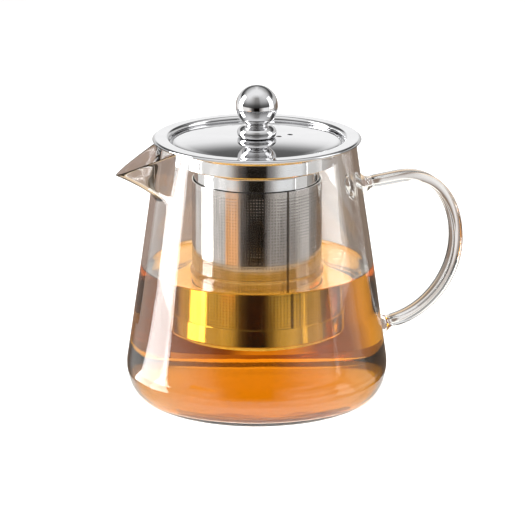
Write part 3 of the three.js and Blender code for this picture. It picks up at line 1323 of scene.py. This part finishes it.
@dataclass
class Lid:
    """The lid: cap with vents, locating ring, ball knob on its foot, and the fastening."""

    gauge: float = 0.8 * MM
    hole: float = 2.3 * MM
    crown_fall: float = 1.4 * MM
    edge_round: float = 5.2 * MM
    edge_fall: float = 0.9 * MM
    vent_radius: float = 1.2 * MM
    vents: tuple[Span, ...] = ((9.6 * MM, -18.0), (15.2 * MM, -2.5))
    neck_radius: float = 4.7 * MM
    foot_base: float = 6.9 * MM
    foot_bulge: float = 1.8 * MM
    foot_bore: float = 3.9 * MM
    ring_flange: float = 4 * MM
    ring_bend: float = 1.1 * MM
    weld_gap: float = 0.04 * MM
    lip: float = 0.12 * MM
    shank: float = 1.9 * MM
    pitch: float = 0.7 * MM
    head_depth: float = 2.2 * MM
    recess: Span = (0.9 * MM, 3.8 * MM)
    washer_bore: float = 2.2 * MM
    washer_chamfer: float = 0.15 * MM

    def build_cap(self) -> Thing:
        """Spin the cap and drill its vents."""
        low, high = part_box("lid_cap")
        half = self.gauge / 2
        edge = high.x - half
        shoulder = edge - self.edge_round
        top = high.z - half
        fallen = top - self.crown_fall
        crown = bezier(points((self.hole, top), (shoulder / 2, top), (shoulder, fallen)), 40)
        slope = 2 * self.crown_fall / shoulder
        lead = 0.6 * self.edge_round
        turn = bezier(points(
            (shoulder, fallen),
            (shoulder + lead, fallen - lead * slope),
            (edge, fallen - 0.3 * MM),
            (edge, fallen - self.edge_fall),
        ), 24)[1:]
        path = [*crown, *turn, Vector((edge, low.z))]
        cap = spun_sheet("lid_cap_spun", path, self.gauge, 256)
        above = high.z + self.gauge
        for distance, degrees in self.vents:
            punch = turned("vent_punch", points(
                (0, low.z), (self.vent_radius, low.z), (self.vent_radius, above), (0, above),
            ), 40)
            for vertex in punch.data.vertices:
                vertex.co += spoke(degrees, distance)
            cap = combined(cap, punch, "DIFFERENCE")
        cap.data.shade_smooth()
        cap.data.set_sharp_from_angle(angle=math.radians(SHARP_DEGREES))
        return cap

    def build_ring(self) -> Thing:
        """Spin the locating ring under the cap."""
        low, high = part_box("lid_locating_ring")
        half = self.gauge / 2
        side = high.x - half
        level = high.z - half
        path = filleted([(side - self.ring_flange, level), (side, level), (side, low.z)], self.ring_bend)
        return spun_sheet("lid_ring_spun", path, self.gauge, 200)

    def build_ball(self) -> tuple[Thing, Thing]:
        """Press the two half shells of the ball, with the upper one's rolled weld lip."""
        _, lower_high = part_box("knob_lower_shell")
        upper_low, upper_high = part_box("knob_upper_shell")
        radius = upper_high.x
        centre = upper_high.z - radius
        inner = radius - self.gauge
        seam = (upper_low.z + lower_high.z) / 2 - centre
        tight = self.weld_gap

        def cut(height: float, size: float) -> float:
            """Latitude in degrees at which a ball of that size reaches a height."""
            return math.degrees(math.asin(height / size))

        waist = math.sqrt(radius**2 - seam**2)
        lip = arc((waist - 0.07 * MM, centre + seam + self.weld_gap + self.lip), self.lip, -90, 90, 8)
        upper = [
            *lip,
            *arc((0, centre), radius, cut(seam + 0.34 * MM, radius), 90, 40),
            *reversed(arc((0, centre), inner, cut(seam + tight, inner), 90, 40)),
        ]
        neck = -math.degrees(math.acos(self.neck_radius / radius))
        lower = [
            *arc((0, centre), radius, neck, cut(seam - tight, radius), 40),
            *reversed(arc((0, centre), inner, neck, cut(seam - tight, inner), 40)),
        ]
        upper[-1].x = 0
        return turned("knob_upper_half", upper, 128), turned("knob_lower_half", lower, 128)

    def build_foot(self) -> Thing:
        """Turn the cushion-shaped foot, with a bead where it meets the ball."""
        low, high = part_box("knob_foot")
        floor = low.z - 0.25 * MM
        top = high.z + 0.2 * MM
        neck = self.neck_radius
        base = bezier(points(
            (self.foot_base, floor), (high.x - 0.2 * MM, floor), (high.x, floor + self.foot_bulge),
        ), 12)
        cushion = bezier([base[-1], *points(
            (high.x, floor + 3.4 * MM),
            (neck + 2.4 * MM, top - 0.7 * MM),
            (neck + 0.1 * MM, top - 0.55 * MM),
        )], 26)[1:]
        collar = arc((neck - 0.4 * MM, top - 0.3 * MM), 0.45 * MM, -30, 90, 10)
        start, end = points((self.foot_bore, floor), (self.foot_bore, collar[-1].y))
        return turned("knob_foot_turned", [start, *base, *cushion, *collar, end], 128)

    def build_screw(self) -> Thing:
        """Turn the pan-head screw and cut its cross recess."""
        low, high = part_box("knob_screw")
        head, shank = high.x, self.shank
        under = low.z + self.head_depth
        thread = []
        height = under
        while height < high.z - self.pitch:
            thread += points((shank, height), (shank * 0.86, height + self.pitch / 2))
            height += self.pitch
        dome = bezier(points((0, low.z), (head * 0.8, low.z), (head, low.z + 0.8 * MM), (head, under)), 16)
        tip = points((shank * 0.7, high.z), (0, high.z))
        screw = turned("knob_screw_turned", [*dome, *thread, *tip], 64)
        for width, length in (self.recess, self.recess[::-1]):
            corners = [
                Vector((sx * width / 2, sy * length / 2, z))
                for z in (low.z - 1 * MM, low.z + 1.2 * MM)
                for sx, sy in ((-1, -1), (1, -1), (1, 1), (-1, 1))
            ]
            screw = combined(screw, brick("recess_bar", corners), "DIFFERENCE")
        screw.data.set_sharp_from_angle(angle=math.radians(SHARP_DEGREES))
        return screw

    def build_washer(self) -> Thing:
        """Turn the flat washer with broken edges."""
        low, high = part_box("knob_washer")
        bore, rim, chamfer = self.washer_bore, high.x, self.washer_chamfer
        outline = points(
            (bore, low.z), (rim - chamfer, low.z), (rim, low.z + chamfer),
            (rim, high.z - chamfer), (rim - chamfer, high.z), (bore, high.z),
        )
        return turned("knob_washer_turned", outline, 96)

    def build(self, finishes: Finishes) -> None:
        """Make the lid's pieces and set them in place.

        Args:
            finishes: The teapot's materials.
        """
        upper, lower = self.build_ball()
        for piece, material, slot, node in (
            (self.build_cap(), finishes.polished, Slot.POLISHED, "lid_cap"),
            (self.build_ring(), finishes.polished, Slot.POLISHED, "lid_locating_ring"),
            (upper, finishes.polished, Slot.POLISHED, "knob_upper_shell"),
            (lower, finishes.polished, Slot.POLISHED, "knob_lower_shell"),
            (self.build_foot(), finishes.polished, Slot.POLISHED, "knob_foot"),
            (self.build_screw(), finishes.turned, Slot.PLAIN, "knob_screw"),
            (self.build_washer(), finishes.turned, Slot.PLAIN, "knob_washer"),
        ):
            finished(piece, material, slot, Body.LID, node)
        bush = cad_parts["knob_threaded_bush"]
        bush.data.materials.clear()
        bush.data.materials.append(finishes.turned)


# ---------------------------------------------------------------- studio


def grey(value: float) -> Tone:
    """A grey of a brightness."""
    return (value, value, value)


@dataclass(frozen=True)
class Card:
    """A glowing card laid level beside the table: its bearing and width in degrees, and its reach."""

    name: str
    turn: float
    width: float
    near: float
    far: float
    tone: Tone
    glow: float


@dataclass
class Studio:
    """Pale floor, white surround with a dark camera side, two side softboxes and the camera."""

    azimuth: float = -20.0
    elevation: float = 15.76
    distance: float = 1.4635
    lens: float = 227.7
    aim_height: float = 61.6 * MM
    slide_right: float = 2.9 * MM
    slide_down: float = 2.6 * MM
    table_top: float = -0.2 * MM
    table_depth: float = 10 * MM
    table_radius: float = 0.071
    bench_radius: float = 0.9
    softbox_distance: float = 0.95
    softbox_height: float = 1.3
    softbox_middle: float = 0.25
    panel_height: float = 1.3
    panel_size: float = 1.4
    panel_power: float = 10
    card_level: float = -12 * MM
    card_thickness: float = 2 * MM
    screen_distance: float = 0.24
    screen_width: Span = (-0.26, 0.056)
    screen_height: Span = (-0.03, 0.05)
    below: tuple[tuple[float, Tone], ...] = (
        (-180, (0.85, 0.82, 0.79)), (-172, (0.80, 0.77, 0.75)), (-166, (0.28, 0.21, 0.17)),
        (-154, (0.28, 0.21, 0.17)), (-140, (0.90, 0.88, 0.86)), (-112, (1.0, 0.98, 0.96)),
        (-45, (1.0, 0.97, 0.94)), (-38, (0.75, 0.72, 0.69)), (-30, (0.30, 0.28, 0.26)),
        (-24, (0.11, 0.10, 0.095)), (-15, (0.04, 0.036, 0.033)), (-13, (0.004, 0.003, 0.002)),
        (13, (0.004, 0.003, 0.002)), (15, (0.14, 0.13, 0.125)), (24, (0.36, 0.34, 0.33)),
        (33, (0.78, 0.76, 0.74)), (42, grey(1.0)), (66, grey(1.0)), (76, (0.55, 0.53, 0.51)),
        (112, (0.42, 0.40, 0.38)), (130, (0.24, 0.18, 0.14)), (174, (0.24, 0.18, 0.14)),
        (178, (0.80, 0.77, 0.75)), (180, (0.85, 0.82, 0.79)),
    )
    above: tuple[tuple[float, Tone], ...] = (
        (-180, grey(1.0)), (-176, grey(1.0)), (-171, grey(0.75)), (-150, grey(0.7)),
        (-120, grey(0.8)), (-95, grey(1.0)), (-55, grey(0.95)), (-25, (0.55, 0.54, 0.53)),
        (-8, (0.33, 0.32, 0.31)), (13, (0.33, 0.32, 0.31)), (25, grey(0.6)), (60, grey(0.8)),
        (105, grey(0.8)), (130, (0.6, 0.59, 0.58)), (150, grey(0.65)), (171, grey(0.7)),
        (176, grey(1.0)), (180, grey(1.0)),
    )
    fall_behind: tuple[Span, ...] = (
        (0, 1.0), (14, 1.0), (16, 0.92), (17.1, 0.80), (18.2, 0.62), (19.7, 0.33), (21.2, 0.14),
        (26, 0.08), (34, 0.20), (48, 0.80), (85, 0.95),
    )
    fall_before: tuple[Span, ...] = (
        (0, 0.10), (12, 0.22), (30, 0.70), (50, 1.0), (85, 0.95),
    )
    through_glass: Tone = (1.2, 1.16, 1.08)
    steep_below: Tone = (0.88, 0.66, 0.44)

    def towards_camera(self, turn: float = 0.0) -> Vector:
        """Level direction from the pot to the camera, turned by some degrees to the camera's right."""
        return spoke(self.azimuth + turn - 90)

    def build_camera(self) -> None:
        """Set the camera on the pot."""
        rise = math.radians(self.elevation)
        back = self.towards_camera() * math.cos(rise) + Vector((0, 0, math.sin(rise)))
        right = self.towards_camera(90)
        up = back.cross(right)
        data = bpy.data.cameras.new("camera")
        data.lens = self.lens
        data.sensor_width = 36
        camera = linked("camera", data)
        shift = right * self.slide_right - up * self.slide_down
        camera.location = Vector((0, 0, self.aim_height)) + back * self.distance + shift
        camera.rotation_mode = "QUATERNION"
        camera.rotation_quaternion = (-back).to_track_quat("-Z", "Y")
        data.clip_start, data.clip_end = 0.01, 20
        bpy.context.scene.camera = camera

    def build_floor(self) -> None:
        """Lay a round pale table top under the pot, and the pale bench that goes on around it; both glow,
        most of all under the pot, as a painted pool of light.
        """
        sheet = ShaderSheet("pale_table", {
            "Roughness": 0.7, "Specular IOR Level": 0.2, "Emission Color": (1.0, 0.99, 0.97, 1),
        })
        reach = sheet.add("ShaderNodeVectorMath", operation="LENGTH")
        sheet.join(sheet.place, reach.inputs[0])
        sheet.feed({
            "Base Color": sheet.mixed(sheet.noise(9.0), grey(0.93), grey(0.95)),
            # Painted pool of light: the floor glows more under the pot, offsetting the shade that the lid
            # and the basket cast there.
            "Emission Strength": sheet.ranged(reach.outputs["Value"], 0.8, 0.3, 0.046, 0.060),
        })
        top, foot = self.table_top, self.table_top - self.table_depth
        for name, inner, outer in (
            ("pale_table", 0.0, self.table_radius), ("pale_bench", self.table_radius, self.bench_radius),
        ):
            outline = points((inner, top), (outer, top), (outer, foot), (inner, foot))
            part = turned(name, outline, 128, closed=inner > 0)
            part.data.materials.append(sheet.material)
        part.visible_glossy = False
        part.visible_transmission = False

    def build_softbox(self, name: str, turn: float, width: float, power: float) -> None:
        """Stand a softbox beside the pot, facing it.

        Args:
            name: Name of the light.
            turn: Degrees to the camera's right, as seen from the pot.
            width: Width in metres.
            power: Power in watts.
        """
        data = bpy.data.lights.new(name, "AREA")
        data.shape = "RECTANGLE"
        data.size, data.size_y = width, self.softbox_height
        data.energy = power
        lamp = linked(name, data)
        place = self.towards_camera(turn) * self.softbox_distance
        lamp.location = place + Vector((0, 0, self.softbox_middle))
        lamp.rotation_mode = "QUATERNION"
        lamp.rotation_quaternion = place.to_track_quat("Z", "Y")
        lamp.visible_camera = False

    def build_top_light(self) -> None:
        """Hang a large panel over the table that doesn't show in the metal."""
        data = bpy.data.lights.new("top_panel", "AREA")
        data.size = self.panel_size
        data.energy = self.panel_power
        lamp = linked("top_panel", data)
        lamp.location = (0, 0, self.panel_height)
        lamp.visible_glossy = False
        lamp.visible_transmission = False
        lamp.visible_camera = False

    def build_surround(self) -> None:
        """Paint the surround: panels at the sides, a dark gap in front and brown below."""
        world = bpy.data.worlds.new("studio")
        world.use_nodes = True
        sheet = Graph(world.node_tree)
        place = sheet.add("ShaderNodeTexCoord").outputs["Generated"]
        ahead = sheet.along(place, self.towards_camera())
        right = sheet.along(place, self.towards_camera(90))
        height = sheet.along(place, Vector((0, 0, 1)))
        bearing = sheet.add("ShaderNodeMath", operation="ARCTAN2")
        sheet.join(right, bearing.inputs[0])
        sheet.join(ahead, bearing.inputs[1])
        turn = sheet.ranged(bearing.outputs[0], 0, 1, -math.pi, math.pi)
        low, high = (
            sheet.ramp(turn, [((degrees + 180) / 360, tone) for degrees, tone in stops])
            for stops in (self.below, self.above)
        )
        low = sheet.mixed(sheet.ranged(height, 0, 1, -0.45, -0.62), low, self.steep_below)
        behind, before = (
            sheet.ramp(height, [(math.sin(math.radians(degrees)), grey(v)) for degrees, v in stops])
            for stops in (self.fall_behind, self.fall_before)
        )
        side = sheet.ranged(ahead, 0, 1, -0.45, 0.1)
        upper = sheet.mixed(None, high, sheet.mixed(side, behind, before), "MULTIPLY")
        upper = sheet.mixed(sheet.ranged(height, 0, 1, 0.8, 0.97), upper, grey(1.0))
        rays = sheet.add("ShaderNodeLightPath").outputs
        through = sheet.mixed(side, self.through_glass, upper)
        upper = sheet.mixed(rays["Is Transmission Ray"], upper, through)
        around = sheet.mixed(sheet.ranged(height, 0, 1, -0.07, -0.01), low, upper)
        background = sheet.add("ShaderNodeBackground", {"Strength": 1.05})
        sheet.join(sheet.mixed(rays["Is Camera Ray"], around, grey(1.0)), background.inputs["Color"])
        output = sheet.add("ShaderNodeOutputWorld")
        sheet.join(background.outputs["Background"], output.inputs["Surface"])
        bpy.context.scene.world = world

    def build_card(self, card: Card) -> None:
        """Lay a coloured card beside the table, for the metal and the glass to pick up.

        Args:
            card: What the card is like.
        """
        middle = self.azimuth + card.turn - 90
        angles = (middle - card.width / 2, middle + card.width / 2)
        heights = (self.card_level - self.card_thickness, self.card_level)
        bar = bent_bars(card.name, [Bar(*angles, card.near, card.far, *heights, 8)])
        self.hang(bar, card.tone, card.tone, card.glow)

    def build_screen(self) -> None:
        """Stand a low brown screen behind the pot, paler towards the handle, for the glass to show."""
        back = -self.towards_camera()
        right = self.towards_camera(90)
        (left_end, right_end), (foot, head) = self.screen_width, self.screen_height
        corners = [
            back * away + right * across + Vector((0, 0, z))
            for away in (self.screen_distance, self.screen_distance + self.card_thickness)
            for across, z in ((left_end, foot), (right_end, foot), (right_end, head), (left_end, head))
        ]
        self.hang(brick("brown_screen", corners), (0.34, 0.245, 0.20), (0.66, 0.60, 0.56), 1.0)

    def hang(self, card: Thing, left: Tone, right: Tone, glow: float) -> None:
        """Dress a card that only the teapot's own surfaces pick up, shaded from left to right.

        Args:
            card: The card.
            left: Colour on its left.
            right: Colour on its right.
            glow: How brightly it shines.
        """
        card.visible_camera = False
        card.visible_diffuse = False
        card.visible_shadow = False
        sheet = ShaderSheet(card.name, {
            "Base Color": (*grey(0.02), 1), "Roughness": 0.9, "Emission Strength": glow,
        })
        across = sheet.along(sheet.place, self.towards_camera(90))
        shade = sheet.ranged(across, 0, 1, -0.01, 0.056)
        card.data.materials.append(sheet.feed({"Emission Color": sheet.mixed(shade, left, right)}))

    def build(self) -> None:
        """Set up the camera, the table and the light."""
        self.build_camera()
        self.build_floor()
        self.build_surround()
        self.build_softbox("left_softbox", -97, 0.42, 17)
        self.build_softbox("right_softbox", 88, 0.50, 3.2)
        self.build_top_light()
        for card in (
            Card("tan_card", -43, 24, 0.20, 0.45, (0.95, 0.46, 0.17), 1.5),
            Card("grey_card", 50, 60, 0.20, 0.45, (0.42, 0.40, 0.38), 1.0),
            Card("left_sheen_card", -97, 22, 0.104, 0.75, grey(1.0), 7),
            Card("right_sheen_card", 88, 28, 0.104, 0.75, (1.0, 0.98, 0.96), 0.8),
        ):
            self.build_card(card)
        self.build_screen()
        bpy.context.scene.view_settings.view_transform = "Standard"


def main() -> None:
    """Build the studio and every sub-assembly, and report each piece."""
    logging.basicConfig(level=logging.INFO, format="%(name)s %(message)s")
    finishes = Finishes()
    Studio().build()
    Vessel().build(finishes)
    Basket().build(finishes)
    Lid().build(finishes)


if __name__ == "__main__":
    main()
